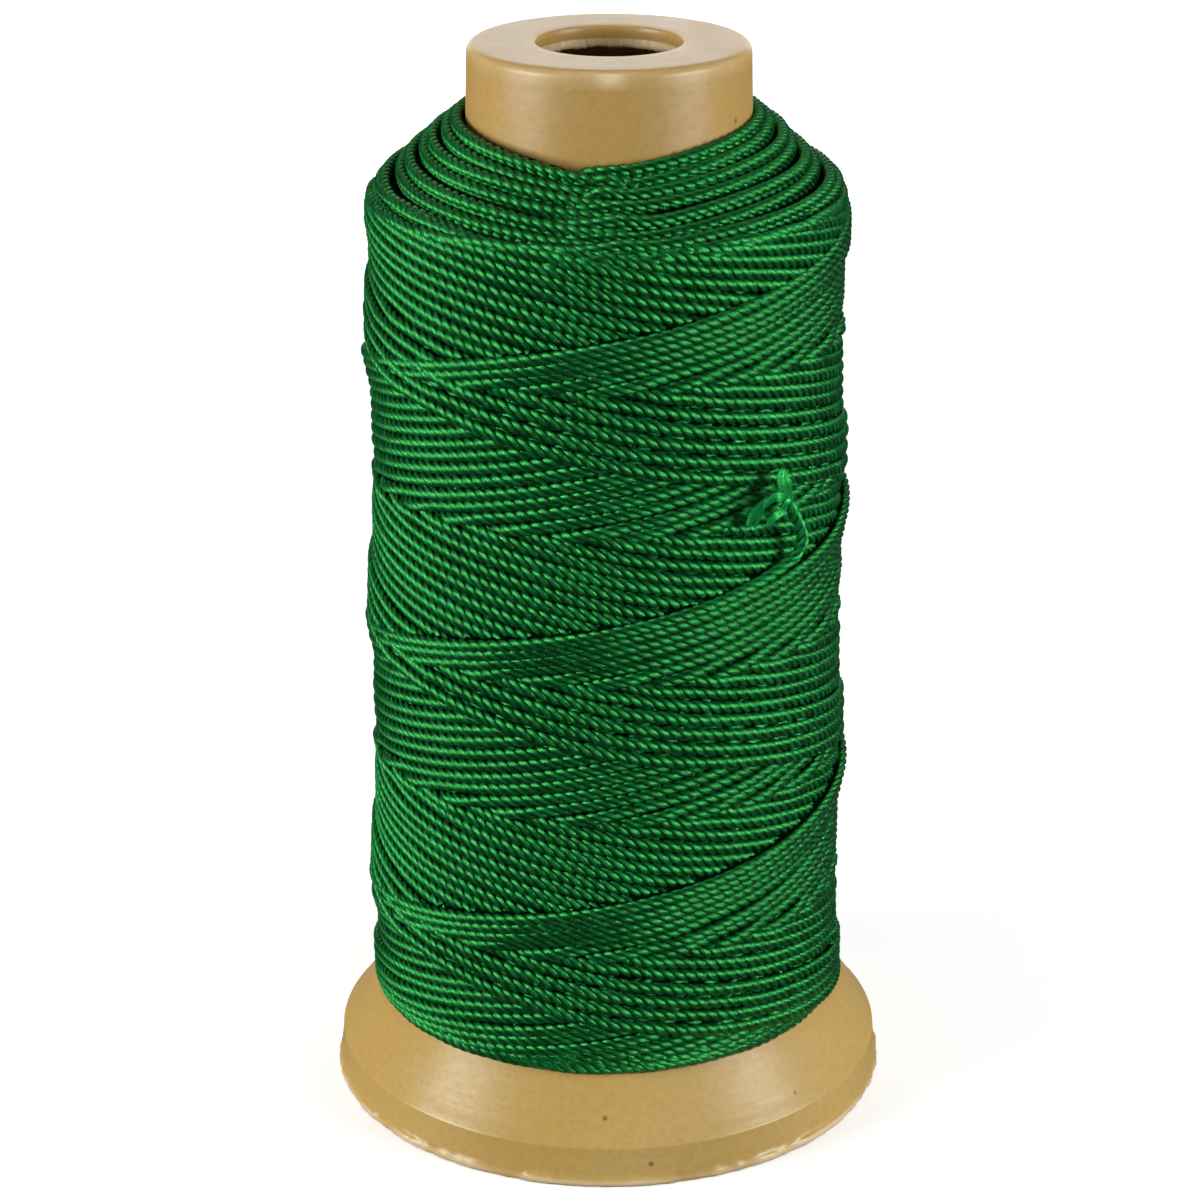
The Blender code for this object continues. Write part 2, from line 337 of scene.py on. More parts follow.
def visible_runs(laid, heights):
    """Uncovered stretches of the line: angle, height, radius, length, and whether on the shoulder."""
    runs = []
    for angle, height, radius, turn in laid:
        row0 = np.round((height - MAP_LOW) / MAP_ROW - 0.5).astype(int)
        col0 = np.round((angle % TAU) / column).astype(int)
        seen = np.zeros(len(angle), bool)
        for up in (-2, 0, 2):
            for side in (-2, 0, 2):
                cells = (np.clip(row0 + up, 0, rows - 1), (col0 + side) % MAP_COLUMNS)
                room = CONTACT_RADIUS ** 2 - (up * MAP_ROW) ** 2 - (side * column * radius) ** 2
                seen |= radius + np.sqrt(np.maximum(room, 0.0)) > heights[cells] - 0.08
        grown = (np.convolve(seen, np.ones(7), "same") > 0) | (turn == RING)
        grown &= turn <= 1e-6
        points = np.stack([radius * np.sin(angle), -radius * np.cos(angle), height], 1)
        along = np.r_[0.0, np.cumsum(np.linalg.norm(np.diff(points, axis=0), axis=1))]
        edges = np.flatnonzero(np.diff(np.r_[False, grown, False].astype(int)))
        for first, last in zip(edges[::2], edges[1::2]):
            if last - first > 3:
                part = slice(first, last)
                runs.append((angle[part], height[part], radius[part], along[part], turn[first] == RING))
    return runs


# ---------------------------------------------------------------- twisted line as meshes

SECTION_ANGLE = np.radians([third + part for third in (0, 120, 240) for part in (0, 28, 48, 60, 72, 92)])
SECTION = len(SECTION_ANGLE)
FROM_PLY = np.abs((SECTION_ANGLE + TAU / 6.0) % (TAU / 3.0) - TAU / 6.0)
ROUNDNESS = (FROM_PLY / (TAU / 6.0)) ** 2.5
SECTION_RADIUS = CREST - (CREST - VALLEY) * ROUNDNESS
RINGS_PER_LAY = 12
PIECE_RINGS = 5100              # most rings in one piece of the winding


def sweep(points, outward, along, thickness, width):
    """Rings of a three-ply section along points, with the plies turning as the length grows."""
    tangent = np.gradient(points, axis=0)
    tangent /= np.linalg.norm(tangent, axis=1)[:, None]
    normal = outward - (outward * tangent).sum(1)[:, None] * tangent
    normal /= np.linalg.norm(normal, axis=1)[:, None]
    side = np.cross(tangent, normal)
    turned_by = TAU * along / LAY
    angle = SECTION_ANGLE[None, :] + turned_by[:, None]
    out = SECTION_RADIUS[None, :] * np.cos(angle) * np.reshape(thickness, (-1, 1))
    across = SECTION_RADIUS[None, :] * np.sin(angle) * np.reshape(width, (-1, 1))
    ring = points[:, None, :] + out[..., None] * normal[:, None, :] + across[..., None] * side[:, None, :]
    fibre = np.stack(np.broadcast_arrays(np.cos(SECTION_ANGLE), np.sin(SECTION_ANGLE), along[:, None]), 2)
    # Relief is 1 on a ply's crest and 0 in its crease; the line's colour uses it as painted shade in the
    # creases.
    relief = np.broadcast_to(1.0 - ROUNDNESS, angle.shape)
    lie = np.gradient(ring, axis=0)
    lie /= np.linalg.norm(lie, axis=2)[..., None]
    # The cosine of each point's angle from the outward normal becomes the open attribute: painted shade on
    # the side facing in, between turns.
    return ring, fibre, relief, np.cos(angle), lie


def run_to_rings(angle, height, radius, along, ring):
    """Rings of the line for one stretch on the winding."""
    spacing = LAY / RINGS_PER_LAY
    fine = np.linspace(along[0], along[-1], max(3, int((along[-1] - along[0]) / spacing) + 1))
    angle, height, radius = (np.interp(fine, along, values) for values in (angle, height, radius))
    points = np.stack([radius * np.sin(angle), -radius * np.cos(angle), height], 1)
    outward = np.stack([np.sin(angle), -np.cos(angle), np.zeros_like(angle)], 1)
    return sweep(points, outward, fine, FULLNESS if ring else FLATTENED, FULLNESS if ring else WIDENED)


def add_attributes(mesh, vectors, values):
    """Give every vertex of a mesh named vectors and values."""
    for label, rows_of in vectors.items():
        layer = mesh.attributes.new(label, "FLOAT_VECTOR", "POINT")
        layer.data.foreach_set("vector", rows_of.astype(np.float32).ravel())
    for label, each in values.items():
        layer = mesh.attributes.new(label, "FLOAT", "POINT")
        layer.data.foreach_set("value", each.astype(np.float32).ravel())


def linked(name, data):
    """A new object in the scene, of a mesh, a camera or a light."""
    made = bpy.data.objects.new(name, data)
    bpy.context.scene.collection.objects.link(made)
    return made


def stands_for(made, node):
    """Attach a piece to the root body and hide the CAD node it stands for; nothing here moves against the
    root.
    """
    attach(made, "root")
    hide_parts(node)
    return made


def strand_mesh(name, parts, tone):
    """One mesh of several swept stretches, each closed at both ends."""
    points, fibres, reliefs, opens, lies, tones, quads, caps = [], [], [], [], [], [], [], []
    offset = 0
    for (ring, fibre, relief, outward, lie), shade in zip(parts, tone):
        count = len(ring)
        points.append(ring.reshape(-1, 3))
        fibres.append(fibre.reshape(-1, 3))
        reliefs.append(relief.reshape(-1))
        opens.append(outward.reshape(-1))
        lies.append(lie.reshape(-1, 3))
        tones.append(np.repeat(np.broadcast_to(shade, count), SECTION))
        index = offset + np.arange(count * SECTION).reshape(count, SECTION)
        right = np.roll(index, -1, axis=1)
        quads.append(np.stack([index[:-1], right[:-1], right[1:], index[1:]], 2).reshape(-1, 4))
        caps.append(index[0][::-1])
        caps.append(index[-1])
        offset += count * SECTION
    points = np.concatenate(points) * MM
    quads = np.concatenate(quads)
    mesh = bpy.data.meshes.new(name)
    mesh.vertices.add(len(points))
    mesh.vertices.foreach_set("co", points.ravel())
    loops = np.concatenate([quads.ravel()] + caps)
    sizes = np.concatenate([np.full(len(quads), 4), np.full(len(caps), SECTION)])
    mesh.loops.add(len(loops))
    mesh.loops.foreach_set("vertex_index", loops.astype(np.int32))
    mesh.polygons.add(len(sizes))
    starts = np.r_[0, np.cumsum(sizes)[:-1]]
    mesh.polygons.foreach_set("loop_start", starts.astype(np.int32))
    mesh.polygons.foreach_set("loop_total", sizes.astype(np.int32))
    mesh.update(calc_edges=True)
    mesh.polygons.foreach_set("use_smooth", sizes == 4)
    end_of = np.full(len(points), -1)
    for number, cap in enumerate(caps):
        end_of[cap] = number
    ends = np.zeros(2 * len(mesh.edges), np.int32)
    mesh.edges.foreach_get("vertices", ends)
    ends = end_of[ends.reshape(-1, 2)]
    sharp = (ends[:, 0] >= 0) & (ends[:, 0] == ends[:, 1])
    mesh.attributes.new("sharp_edge", "BOOLEAN", "EDGE").data.foreach_set("value", sharp)
    add_attributes(mesh, {"fibre": np.concatenate(fibres), "lie": np.concatenate(lies)},
                   {"relief": np.concatenate(reliefs), "open": np.concatenate(opens),
                    "tone": np.concatenate(tones)})
    mesh.validate()
    return linked(name, mesh)


def grid_mesh(name, grid, close_rows=True):
    """A mesh of quads over a (rows, columns, 3) grid in millimetres, closed round the columns."""
    count, width = grid.shape[:2]
    index = np.arange(count * width).reshape(count, width)
    below = np.roll(index, -1, axis=0) if close_rows else index[1:]
    here = index if close_rows else index[:-1]
    quads = np.stack([here, np.roll(here, -1, axis=1), np.roll(below, -1, axis=1), below], 2).reshape(-1, 4)
    mesh = bpy.data.meshes.new(name)
    mesh.from_pydata((grid.reshape(-1, 3) * MM).tolist(), [], quads.tolist())
    mesh.polygons.foreach_set("use_smooth", np.ones(len(quads), bool))
    mesh.update()
    return linked(name, mesh)


# ---------------------------------------------------------------- materials

def shader_tree(name):
    """A new Principled material, and a helper that adds nodes to it."""
    made = bpy.data.materials.new(name)
    made.use_nodes = True
    tree = made.node_tree
    shader = tree.nodes["Principled BSDF"]

    def add(kind, inputs=(), **settings):
        """Add a node; an input is a value or another node's output."""
        node = tree.nodes.new("ShaderNode" + kind)
        for key, value in settings.items():
            setattr(node, key, value)
        for key, value in dict(inputs).items():
            if isinstance(value, bpy.types.NodeSocket):
                tree.links.new(value, node.inputs[key])
            else:
                node.inputs[key].default_value = value
        return node

    return made, shader, tree, add


def ramp(add, factor, stops):
    """A colour ramp of (place, colour) stops."""
    node = add("ValToRGB", {"Fac": factor})
    elements = node.color_ramp.elements
    while len(elements) < len(stops):
        elements.new(0.5)
    for element, (place, colour) in zip(elements, stops):
        element.position = place
        element.color = (*colour, 1.0)
    return node.outputs["Color"]


def noise(add, place, scale, detail, roughness=0.5):
    """Value of a noise texture."""
    settings = {"Vector": place, "Scale": scale, "Detail": detail, "Roughness": roughness}
    return add("TexNoise", settings).outputs["Fac"]


def remap(add, value, low, high, to_low=0.0, to_high=1.0):
    """A value's place between two limits, as a place between two others."""
    limits = {"From Min": low, "From Max": high, "To Min": to_low, "To Max": to_high}
    return add("MapRange", {"Value": value, **limits}).outputs["Result"]


def combine(add, operation, first, second):
    """Sum or product of two values."""
    return add("Math", {0: first, 1: second}, operation=operation).outputs[0]


def blend(add, factor, first, second, kind="MIX"):
    """One colour mixed with another."""
    inputs = {"Factor": factor, "A": first, "B": second}
    return add("Mix", inputs, data_type="RGBA", blend_type=kind).outputs["Result"]


def attribute(add, name, output="Fac"):
    """A vertex attribute of the mesh."""
    return add("Attribute", attribute_name=name).outputs[output]


def line_material(name, dark, mid, bright, gloss, silky=0.0):
    """Dyed, twisted multifilament: painted shade in the creases between plies and on the side facing the
    turns, filament streaks, a satin sheen.
    """
    made, shader, tree, add = shader_tree(name)
    fibre = attribute(add, "fibre", "Vector")
    stretched = add("Mapping", {"Vector": fibre, "Scale": (7.0, 7.0, 0.9)}).outputs["Vector"]
    streak = noise(add, stretched, 1.0, 3.0, 0.6)
    patch_place = add("Mapping", {"Vector": fibre, "Scale": (0.5, 0.5, 0.25)}).outputs["Vector"]
    patch = noise(add, patch_place, 1.0, 2.0)
    mixed = combine(add, "MULTIPLY", streak, 0.5)
    # Painted shade: relief darkens the creases between plies.
    mixed = combine(add, "ADD", attribute(add, "relief"), mixed)
    mixed = combine(add, "ADD", mixed, patch)
    mixed = combine(add, "ADD", mixed, attribute(add, "tone"))
    mixed = remap(add, mixed, 0.90, 2.0)
    # Painted shade: the side of the line that faces in, towards the turns below and beside it, is darkened.
    lit = remap(add, attribute(add, "open"), -0.60, -0.05)
    mixed = combine(add, "MULTIPLY", mixed, lit)
    colour = ramp(add, mixed, [(0.0, dark), (0.55, mid), (1.0, bright)])
    tree.links.new(colour, shader.inputs["Base Color"])
    tree.links.new(remap(add, streak, 0.3, 0.7, 0.44, 0.28), shader.inputs["Roughness"])
    bump = add("Bump", {"Height": streak, "Strength": 0.6, "Distance": 0.00012}).outputs["Normal"]
    tree.links.new(bump, shader.inputs["Normal"])
    shader.inputs["Specular IOR Level"].default_value = gloss
    shader.inputs["IOR"].default_value = 1.9 if gloss > 0.0 else 1.0
    shader.inputs["Specular Tint"].default_value = (0.10, 1.0, 0.20, 1.0)
    if silky > 0.0:
        tree.links.new(attribute(add, "lie", "Vector"), shader.inputs["Tangent"])
        shader.inputs["Anisotropic"].default_value = silky
        shader.inputs["Anisotropic Rotation"].default_value = 0.25
    return made


SPECK_COLOUR = (0.10, 0.055, 0.02, 1.0)
# Pale colour for torn edges and flash, and for the painted highlight along the collar's rounded edge.
PALE_TORN_AND_HIGHLIGHT_COLOUR = (0.72, 0.57, 0.34, 1.0)


def plastic_material(name, base, pale, dark, roughness, shine):
    """Aged moulded plastic: cloudy tan, fine orange peel, specks, faint scratches, pale torn edges, a
    painted highlight on the collar's edge.
    """
    made, shader, tree, add = shader_tree(name)
    place = add("TexCoord").outputs["Object"]
    cloud = noise(add, place, 28.0, 2.0)
    colour = ramp(add, cloud, [(0.25, dark), (0.50, base), (0.78, pale)])
    tint = remap(add, noise(add, place, 1400.0, 2.0), 0.3, 0.7, 0.94, 1.05)
    colour = blend(add, 1.0, colour, tint, "MULTIPLY")
    cell = add("TexVoronoi", {"Vector": place, "Scale": 330.0, "Randomness": 1.0}).outputs["Distance"]
    near = remap(add, cell, 0.05, 0.13, 1.0, 0.0)
    rare = remap(add, noise(add, place, 210.0, 0.0), 0.63, 0.68, 0.0, 0.75)
    colour = blend(add, combine(add, "MULTIPLY", near, rare), colour, SPECK_COLOUR)
    # The torn attribute paints this pale colour: real on torn edges and flash, a painted highlight on the
    # collar's rounded edge.
    colour = blend(add, combine(add, "MULTIPLY", attribute(add, "torn"), cloud), colour, PALE_TORN_AND_HIGHLIGHT_COLOUR)
    tree.links.new(colour, shader.inputs["Base Color"])
    drawn_out = {"Vector": place, "Scale": (1.0, 1.0, 14.0), "Rotation": (0.2, 0.35, 0.0)}
    scratch = noise(add, add("Mapping", drawn_out).outputs["Vector"], 160.0, 5.0)
    height = combine(add, "ADD", noise(add, place, 520.0, 2.0), combine(add, "MULTIPLY", scratch, 0.3))
    bump = add("Bump", {"Height": height, "Strength": 0.35, "Distance": 0.00012}).outputs["Normal"]
    tree.links.new(bump, shader.inputs["Normal"])
    rough = remap(add, scratch, 0.3, 0.7, roughness - 0.02, roughness + 0.04)
    tree.links.new(rough, shader.inputs["Roughness"])
    shader.inputs["Subsurface Weight"].default_value = 0.15
    shader.inputs["Subsurface Radius"].default_value = (0.004, 0.0025, 0.001)
    shader.inputs["Subsurface Scale"].default_value = 0.6
    shader.inputs["Specular IOR Level"].default_value = shine
    return made


# ---------------------------------------------------------------- camera first, then the line

LENS = 97.95
CAMERA_PLACE = (-1.01, -355.1, 198.86)
LOOKS_DOWN = 21.476             # degrees below level


def make_camera():
    """The camera, level sideways and looking down at the spool."""
    data = bpy.data.cameras.new("camera")
    data.lens = LENS
    data.sensor_width = 36.0
    data.clip_start = 0.01
    camera = linked("camera", data)
    camera.location = [value * MM for value in CAMERA_PLACE]
    camera.rotation_euler = (math.radians(90.0 - LOOKS_DOWN), 0.0, 0.0)
    bpy.context.scene.camera = camera


def surface(made, material):
    """Give an object one material."""
    made.data.materials.clear()
    made.data.materials.append(material)
    return made


def make_winding(line, under):
    """The wound line as twisted stretches over a drum of the layers below, painted near-black as shade."""
    laid, heights = wind()
    rng = np.random.default_rng(12)
    parts, tones, total, number = [], [], 0, 1
    for run in visible_runs(laid, heights):
        rings = run_to_rings(*run)
        if len(rings[0]) < 3:
            continue
        # Each stretch gets a random tone; the turns left on the shoulder are also painted darker, as shade.
        tone = rng.normal(0.0, 0.05) - (0.12 if run[4] else 0.0)
        for first in range(0, len(rings[0]) - 1, PIECE_RINGS - 1):
            part = [values[first:first + PIECE_RINGS] for values in rings]
            if total + len(part[0]) > PIECE_RINGS:
                finish_line(f"winding_line_{number:02d}", parts, tones, line)
                parts, tones, total = [], [], 0
                number += 1
            parts.append(part)
            tones.append(tone)
            total += len(part[0])
    finish_line(f"winding_line_{number:02d}", parts, tones, line)
    make_drum(heights, under)
    return laid


def finish_line(name, parts, tones, line):
    """One piece of wound line, standing for the winding's solid."""
    stands_for(surface(strand_mesh(name, parts, tones), line), "line_winding")


def make_drum(heights, under):
    """The hidden layers, painted near-black as shade in the gaps: just under the outermost turns, down to
    the tube.
    """
    angles = np.arange(0, MAP_COLUMNS, 2) * column
    picked = np.flatnonzero((row_height > 12.2) & (row_height < 116.6))[::2]
    cells = np.ix_(picked, np.arange(0, MAP_COLUMNS, 2))
    levels = row_height[picked]
    turned_by = np.degrees(angles)[None, :]
    topmost = SHOULDER[0][0] - SHOULDER[0][1] * ring_drop(turned_by)
    under_rings = target_radius(levels[:, None] + 2.4 * ring_drop(turned_by) + 0.3) - 1.55
    under_rings = under_rings - 2.5 * np.maximum(levels[:, None] - topmost + 1.3, 0.0)
    share = smooth_step((levels[:, None] + 1.6 * ring_drop(turned_by) - 106.6) / 1.6)
    wound = np.where(heights[cells] > 1.0, heights[cells] - 0.55, under_rings)
    outer = np.maximum(wound * (1.0 - share) + under_rings * share, spool_radius(levels)[:, None] - 0.4)
    top = levels[-1] + 0.1
    inside = [(float(spool_radius(levels[-1])) - 0.4, top), (TUBE_TOP_RADIUS - 0.6, top),
              (TUBE_TOP_RADIUS - 0.6, TUBE_TOP + 2.0), (TUBE_TOP_RADIUS + 0.06, TUBE_TOP + 1.0)]
    for radius in (TUBE_FOOT_RADIUS + 0.3, 26.6):
        inside.append((radius, RIM_HEIGHT + (RIM_RADIUS - radius) * CONE_RISE + 0.35))
    rings = list(zip(outer, levels))
    rings += [(np.full(len(angles), radius), level) for radius, level in inside]
    grid = np.array([np.stack([radius * np.sin(angles), -radius * np.cos(angles),
                               np.full(len(angles), level)], 1) for radius, level in rings])
    stands_for(surface(grid_mesh("winding_drum", grid), under), "line_winding")


def smooth_route(points, spacing):
    """Evenly spaced points on a Catmull-Rom curve through the given ones."""
    points = np.array(points, float)
    padded = np.vstack([2 * points[0] - points[1], points, 2 * points[-1] - points[-2]])
    dense = []
    for index in range(1, len(padded) - 2):
        before, start, end, after = padded[index - 1:index + 3]
        for part in range(12):
            t = part / 12.0
            dense.append(0.5 * (2 * start + (end - before) * t
                                + (2 * before - 5 * start + 4 * end - after) * t * t
                                + (3 * start - before - 3 * end + after) * t ** 3))
    dense.append(points[-1])
    dense = np.array(dense)
    length = np.r_[0.0, np.cumsum(np.linalg.norm(np.diff(dense, axis=0), axis=1))]
    wanted = np.linspace(0.0, length[-1], int(length[-1] / spacing) + 1)
    return np.stack([np.interp(wanted, length, dense[:, axis]) for axis in range(3)], 1), wanted


def place(point):
    """Position in millimetres of a (degrees, radius, height) point."""
    angle = math.radians(point[0])
    return [point[1] * math.sin(angle), -point[1] * math.cos(angle), point[2]]


# Route of each unlaid ply, as in the CAD: degrees, distance from the axis, height.
PLY_ROUTES = {
    "tail_ply_upper": [(40.3, 29.6, 80.9), (39.6, 29.5, 82.0), (40.2, 29.2, 83.2)],
    "tail_ply_middle": [(38.7, 29.9, 80.2), (36.5, 29.8, 80.4), (34.6, 29.3, 79.4)],
    "tail_ply_lower": [(39.3, 29.4, 78.4), (37.4, 29.5, 78.0), (35.3, 29.2, 77.0)],
}


def make_tail(laid, wound, line):
    """The loose end: it leaves the last turn, curls back, and its three plies come unlaid."""
    angle, height, radius, turn = laid[-1]
    resting = turn >= -1e-6
    degrees = np.degrees(angle[resting])
    points = np.stack([radius * np.sin(angle), -radius * np.cos(angle), height], 1)
    lengths = np.r_[0.0, np.cumsum(np.linalg.norm(np.diff(points, axis=0), axis=1))]
    wound_length = lengths[np.flatnonzero(resting)[0]]
    route = []
    for index, (around, away, level) in enumerate(TAIL_ROUTE):
        lying = np.interp(around, degrees, radius[resting])
        lift = smooth_step((index - 3) / 5.0)
        route.append(place((around, lying + (away - lying) * lift, level)))
    fine, along = smooth_route(route, LAY / RINGS_PER_LAY)
    outward = fine * np.array([1.0, 1.0, 0.0])
    outward /= np.linalg.norm(outward, axis=1)[:, None]
    loosened = smooth_step(along / 20.0)
    rings = sweep(fine, outward, wound_length + along, FLATTENED + (1.0 - FLATTENED) * loosened,
                  WIDENED + (1.0 - WIDENED) * loosened)
    # The painted shade on the line's inward side fades out as the end comes loose.
    rings = (*rings[:3], np.maximum(rings[3], 2.0 * loosened[:, None] - 1.0), rings[4])
    # Painted light: the loose end grows paler along its length.
    paler = 0.45 * smooth_step((along - 8.0) / 16.0)
    tail = surface(strand_mesh("line_tail_end", [rings], [paler]), wound)
    stands_for(tail, "line_tail")
    end = fine[-1]
    ahead = fine[-1] - fine[-3]
    ahead /= np.linalg.norm(ahead)
    rng = np.random.default_rng(21)
    for number, (name, knots) in enumerate(PLY_ROUTES.items()):
        make_ply(name, number, knots, end, ahead, outward[-1], rng, line)


# How each unlaid ply spreads: filaments, width where it is widest, share of its length where that is,
# width left at its tip.
PLY_SPREAD = {
    "tail_ply_upper": (170, 0.95, 0.60, 0.70),
    "tail_ply_middle": (120, 0.48, 0.45, 0.25),
    "tail_ply_lower": (120, 0.42, 0.45, 0.20),
}
# Filaments of the middle ply that lie on past its curl: degrees, distance from the axis, height.
FAN_ROUTE = [
    (36.0, 29.4, 80.3), (34.9, 29.0, 79.6), (33.8, 28.75, 78.7), (32.6, 28.6, 77.7), (31.9, 28.5, 77.1),
]


def filaments(spine, count, widest, at, tip, rng):
    """Rings of fine filaments along a spine, in a flat band that widens and narrows again."""
    u = np.linspace(0.0, 1.0, len(spine))
    tangent = np.gradient(spine, axis=0)
    tangent /= np.linalg.norm(tangent, axis=1)[:, None]
    away = spine * np.array([1.0, 1.0, 0.0])
    away -= (away * tangent).sum(1)[:, None] * tangent
    away /= np.linalg.norm(away, axis=1)[:, None]
    across = np.cross(tangent, away)
    reach = np.interp(u, (0.0, 0.15, at, 1.0), (0.30, 0.34, widest, tip))
    depth = np.interp(u, (0.0, 0.15, at, 1.0), (0.28, 0.26, 0.15, 0.10))
    ring_angle = np.arange(5) * TAU / 5
    made = []
    for _ in range(count):
        place_across = rng.uniform(-1.0, 1.0)
        place_out = rng.uniform(-1.0, 1.0) * math.sqrt(1.0 - 0.9 * place_across ** 2)
        keep = max(5, int(len(u) * min(1.0, rng.uniform(0.80, 1.10) - 0.12 * abs(place_across))))
        wave = 0.05 * np.sin(u * rng.uniform(3.0, 8.0) + rng.uniform(0.0, TAU)) * u
        stray = rng.normal(0.0, 0.10) * u ** 2
        path = (spine + (place_across * reach + wave + stray)[:, None] * across
                + (place_out * depth + 0.5 * wave)[:, None] * away)[:keep]
        thick = 0.058 * (1.0 - 0.3 * u[:keep])
        ring = (path[:, None, :] + (thick[:, None] * np.cos(ring_angle))[..., None] * away[:keep, None, :]
                + (thick[:, None] * np.sin(ring_angle))[..., None] * across[:keep, None, :])
        # Painted shade: filaments deeper in the band and nearer its edges are darker.
        shade = 0.5 + 0.5 * place_out - 0.25 * abs(place_across)
        made.append((ring, shade, rng.uniform(0.0, TAU), u[:keep]))
    return made


def make_ply(name, number, knots, end, ahead, outward, rng, line):
    """One unlaid ply: a flat, frayed band of fine filaments, coloured lighter than the wound line as painted
    light.
    """
    side = np.cross(ahead, outward)
    side /= np.linalg.norm(side)
    out = np.cross(side, ahead)
    turn = math.radians(90.0 + 120.0 * number)
    off = math.cos(turn) * out + math.sin(turn) * side
    spine = [end - ahead * 1.3 + 0.26 * off, end + ahead * 0.2 + 0.36 * off]
    spine += [np.array(place(knot)) for knot in knots]
    strands = filaments(smooth_route(spine, 0.2)[0], *PLY_SPREAD[name], rng)
    if name == "tail_ply_middle":
        fan = [np.array(place(knot)) for knot in FAN_ROUTE]
        strands += filaments(smooth_route(fan, 0.2)[0], 60, 0.85, 0.6, 0.75, rng)
    verts, faces, fibres, reliefs, lies, base = [], [], [], [], [], 0
    for ring, shade, start, u in strands:
        keep, sides = ring.shape[:2]
        index = base + np.arange(keep * sides).reshape(keep, sides)
        right = np.roll(index, -1, axis=1)
        faces += np.stack([index[:-1], right[:-1], right[1:], index[1:]], 2).reshape(-1, 4).tolist()
        faces += [index[0][::-1].tolist(), index[-1].tolist()]
        verts.append(ring.reshape(-1, 3))
        fibres.append(np.stack([np.full(keep * sides, start), np.full(keep * sides, shade),
                                np.repeat(u * 4.0, sides)], 1))
        reliefs.append(np.full(keep * sides, 1.05 + 0.30 * shade))
        lie = np.gradient(ring, axis=0)
        lies.append((lie / np.linalg.norm(lie, axis=2)[..., None]).reshape(-1, 3))
        base += keep * sides
    mesh = bpy.data.meshes.new(name)
    mesh.from_pydata((np.concatenate(verts) * MM).tolist(), [], faces)
    mesh.polygons.foreach_set("use_smooth", [len(face) == 4 for face in faces])
    # Painted light: a tone of 0.25 lifts the unlaid plies' colour, and open is 1, so their inward side gets
    # no painted shade.
    add_attributes(mesh, {"fibre": np.concatenate(fibres), "lie": np.concatenate(lies)},
                   {"relief": np.concatenate(reliefs), "open": np.ones(base), "tone": np.full(base, 0.25)})
    mesh.update()
    return stands_for(surface(linked(name + "_tuft", mesh), line), name)


# ---------------------------------------------------------------- moulded spool

def ring_noise(rng, angles, terms, low=2):
    """A closed random wave round the axis."""
    total = np.zeros(len(angles))
    for order in range(low, low + terms):
        total += rng.normal() * np.cos(order * angles + rng.uniform(0.0, TAU)) / math.sqrt(order)
    return total / max(1e-6, np.abs(total).max())


def turned(name, loop, steps, change=None):
    """Turn a closed (radius, height) outline; change(loop index, angles) adds to radius and height."""
    angles = np.arange(steps) * TAU / steps
    grid = np.zeros((len(loop), steps, 3))
    for index, (radius, height) in enumerate(loop):
        more_radius, more_height = change(index, angles) if change else (0.0, 0.0)
        grid[index, :, 0] = (radius + more_radius) * np.sin(angles)
        grid[index, :, 1] = -(radius + more_radius) * np.cos(angles)
        grid[index, :, 2] = height + more_height
    return grid_mesh(name, grid)


def arc(centre, radius, start, end, parts):
    """Points on an arc in the (radius, height) plane, angles in degrees."""
    return [(centre[0] + radius * math.cos(math.radians(start + (end - start) * i / parts)),
             centre[1] + radius * math.sin(math.radians(start + (end - start) * i / parts)))
            for i in range(parts + 1)]


def make_foot(material):
    """The hollow cone: upright rim, ragged moulding flash along the bottom edge."""
    seat = RIM_HEIGHT + (RIM_RADIUS - TUBE_FOOT_RADIUS) * CONE_RISE
    spigot = TUBE_FOOT_RADIUS - TUBE_WALL - 0.35
    rng = np.random.default_rng(31)
    outline = [(spigot - 0.2, seat + SPIGOT), (spigot, seat + SPIGOT - 0.2), (spigot, seat + 0.01),
               (TUBE_FOOT_RADIUS - 0.2, seat + 0.01), (TUBE_FOOT_RADIUS, seat - 0.1)]
    count = 30
    for step in range(1, count):
        height = seat + (RIM_HEIGHT + 0.5 - seat) * step / count
        outline.append((cone_radius(height), height))
    outline += arc((RIM_RADIUS - RIM_ROUND, RIM_HEIGHT - 0.05), RIM_ROUND, 35, 0, 5)
    outline += [(RIM_RADIUS + 0.05, 3.6), (RIM_RADIUS + 0.18, 2.6), (RIM_RADIUS + 0.3, 1.7),
                (FOOT_RADIUS - 0.28, 1.15)]
    flash_from = len(outline)
    outline += [(FOOT_RADIUS - 0.12, 0.95), (FOOT_RADIUS, 0.62), (FOOT_RADIUS, 0.30),
                (FOOT_RADIUS - 0.15, 0.08), (FOOT_RADIUS - 0.5, 0.03)]
    flash_to = len(outline)
    outline += [(FOOT_RADIUS - WALL, 0.0), (RIM_RADIUS - 1.9, RIM_HEIGHT * 0.9)]
    inner = spigot - TUBE_WALL
    for step in range(1, 12):
        outline.append((RIM_RADIUS - 1.9 + (inner - RIM_RADIUS + 1.9) * step / 12.0,
                        RIM_HEIGHT * 0.9 + (seat - WALL - RIM_HEIGHT * 0.9) * step / 12.0))
    outline += [(inner, seat - WALL), (inner, seat + SPIGOT)]
    steps = 512
    ring = np.arange(steps) * TAU / steps
    wave = ring_noise(rng, ring, 40, 3)
    rough = ring_noise(rng, ring, 90, 40)
    edge = 0.16 * wave + 0.10 * rough

    def change(index, angles):
        """Ragged flash low on the rim."""
        if flash_from <= index < flash_to:
            depth = (index - flash_from + 1) / (flash_to - flash_from)
            return edge * (1.2 - 0.3 * depth), np.clip(edge, -0.03, 0.3) * (1.0 - depth) * 1.5
        return 0.0, 0.0

    made = surface(turned("foot_shell", outline, steps, change), material)
    pale = np.zeros((len(outline), steps), np.float32)
    pale[flash_from + 1:flash_to] = np.clip(1.3 + 1.2 * wave, 0.2, 2.0)
    add_attributes(made.data, {}, {"torn": pale})
    stands_for(made, "foot_cone")


